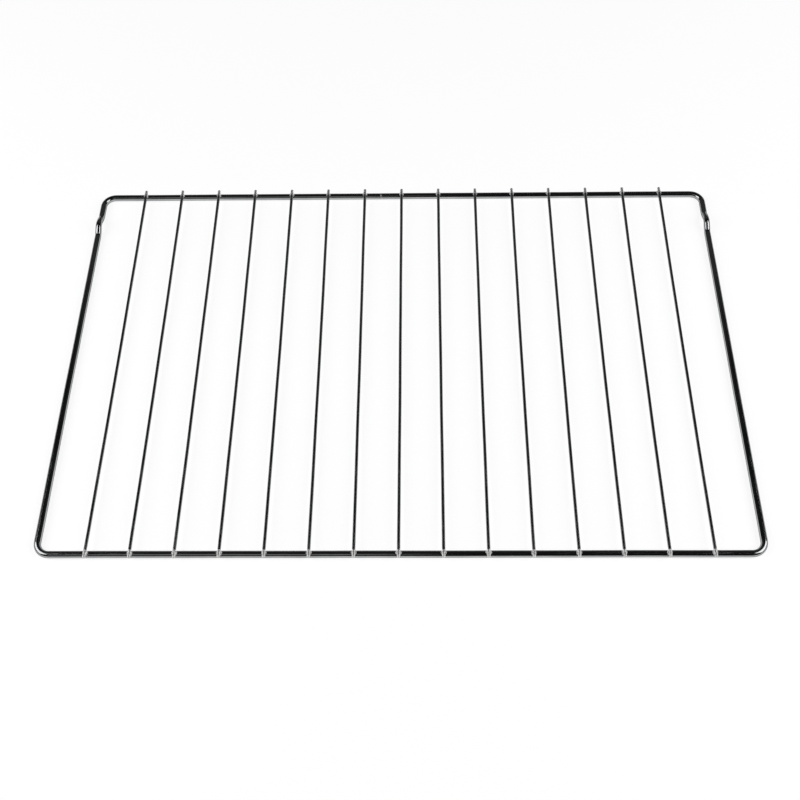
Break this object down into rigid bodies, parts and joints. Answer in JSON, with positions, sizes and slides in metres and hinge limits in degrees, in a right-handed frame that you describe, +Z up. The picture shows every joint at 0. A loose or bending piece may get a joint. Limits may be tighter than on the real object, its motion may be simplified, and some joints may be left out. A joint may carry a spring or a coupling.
{
  "type": "wire cooling rack",
  "caption": "Flat rectangular bakery wire rack: a round-cornered frame wire with fine parallel cross wires welded on top and a small stop hump near the back of each side rail.",
  "frame": {"origin": "on the surface the rack lies on, under the middle of the rack", "axes": "+X along the long rails to the right, +Y along the grid wires to the back edge beside the stop humps, +Z up"},
  "size_m": [0.6, 0.4036, 0.01],
  "materials": {
    "frame_wire_plating": "bright chrome plate over drawn steel wire",
    "grid_wire_plating": "bright chrome plate over drawn steel wire, slightly softer shine",
    "weld_plating": "chrome plate over rough resistance-weld metal"
  },
  "bodies": {
    "root": {"frame_wire": "frame_wire_plating", "frame_butt_weld": "weld_plating", "grid_wire_01": "grid_wire_plating", "grid_wire_02": "grid_wire_plating", "grid_wire_03": "grid_wire_plating", "grid_wire_04": "grid_wire_plating", "grid_wire_05": "grid_wire_plating", "grid_wire_06": "grid_wire_plating", "grid_wire_07": "grid_wire_plating", "grid_wire_08": "grid_wire_plating", "grid_wire_09": "grid_wire_plating", "grid_wire_10": "grid_wire_plating", "grid_wire_11": "grid_wire_plating", "grid_wire_12": "grid_wire_plating", "grid_wire_13": "grid_wire_plating", "grid_wire_14": "grid_wire_plating", "grid_wire_15": "grid_wire_plating", "front_weld_nuggets": "weld_plating", "rear_weld_nuggets": "weld_plating"}
  },
  "joints": []
}
